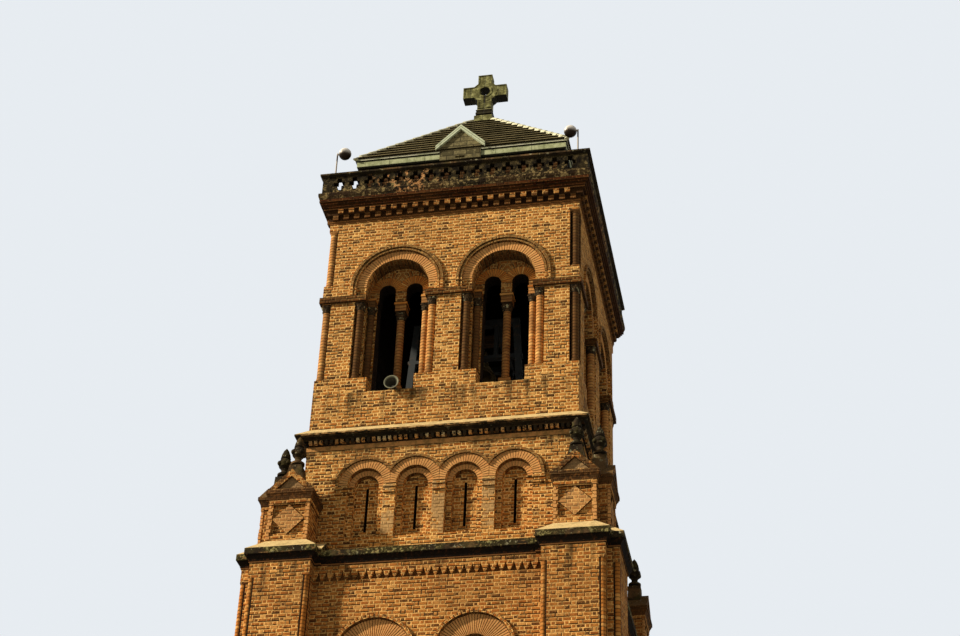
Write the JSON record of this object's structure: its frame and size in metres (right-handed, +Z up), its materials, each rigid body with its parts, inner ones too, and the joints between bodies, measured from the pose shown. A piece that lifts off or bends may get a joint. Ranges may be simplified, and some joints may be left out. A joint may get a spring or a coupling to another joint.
{
  "type": "bell tower, scale model at 1:2",
  "caption": "Tall square brick bell tower with corner piers, gabled pinnacles, a blind arcade, arched belfry windows, a pierced balustrade and a hipped roof with a cross.",
  "frame": {"origin": "centre of the footprint, on the ground", "axes": "+Z up, the portal faces -Y, +X to the right of someone who faces the portal"},
  "size_m": [5.648, 5.648, 24.521],
  "materials": {
    "plinth_stone": "rough dressed stone",
    "wall_brick": "rough fired brick with pale mortar",
    "pinnacle_brick": "rough fired brick with pale mortar",
    "shaft_brick": "rounded fired brick",
    "cornice_brick": "rough fired brick, dirty",
    "moulding_stone": "weathered stone with lichen",
    "balustrade_stone": "weathered stone",
    "attic_brick": "rough fired brick",
    "dormer_brick": "brick blocks under a pale stone coping",
    "roof_tile": "weathered clay tile courses",
    "green_copper": "weathered green copper",
    "floor_concrete": "rough screed",
    "door_timber": "varnished boards",
    "headstock_timber": "dark seasoned timber",
    "frame_steel": "matt dark paint",
    "lamp_metal": "grey paint",
    "horn_grey": "matt grey",
    "bell_bronze": "dark bronze"
  },
  "bodies": {
    "root": {"plinth": "plinth_stone", "ground_wall_front": "wall_brick", "ground_wall_back": "wall_brick", "ground_wall_left": "wall_brick", "ground_wall_right": "wall_brick", "door_leaves": "door_timber", "string_course": "moulding_stone", "middle_wall_front": "wall_brick", "middle_wall_back": "wall_brick", "middle_wall_left": "wall_brick", "middle_wall_right": "wall_brick", "corner_piers": "wall_brick", "zigzag_band": "wall_brick", "lower_cornice": "moulding_stone", "arcade_wall_front": "wall_brick", "arcade_wall_back": "wall_brick", "arcade_wall_left": "wall_brick", "arcade_wall_right": "wall_brick", "pinnacles": "pinnacle_brick", "finials": "moulding_stone", "belfry_ledge": "moulding_stone", "belfry_wall_front": "wall_brick", "belfry_wall_back": "wall_brick", "belfry_wall_left": "wall_brick", "belfry_wall_right": "wall_brick", "impost_string": "moulding_stone", "colonnettes": "shaft_brick", "main_cornice": "cornice_brick", "cornice_dentils": "cornice_brick", "balustrade_panels": "balustrade_stone", "balustrade_corners": "balustrade_stone", "balustrade_coping": "moulding_stone", "attic_wall": "attic_brick", "dormers": "dormer_brick", "roof": "roof_tile", "roof_hips": "green_copper", "eaves_gutter": "green_copper", "cross": "green_copper", "floors": "floor_concrete", "floodlights": "lamp_metal", "horn_loudspeaker": "horn_grey", "bell_frame": "frame_steel", "headstock": "headstock_timber", "bell": "bell_bronze"}
  },
  "joints": []
}
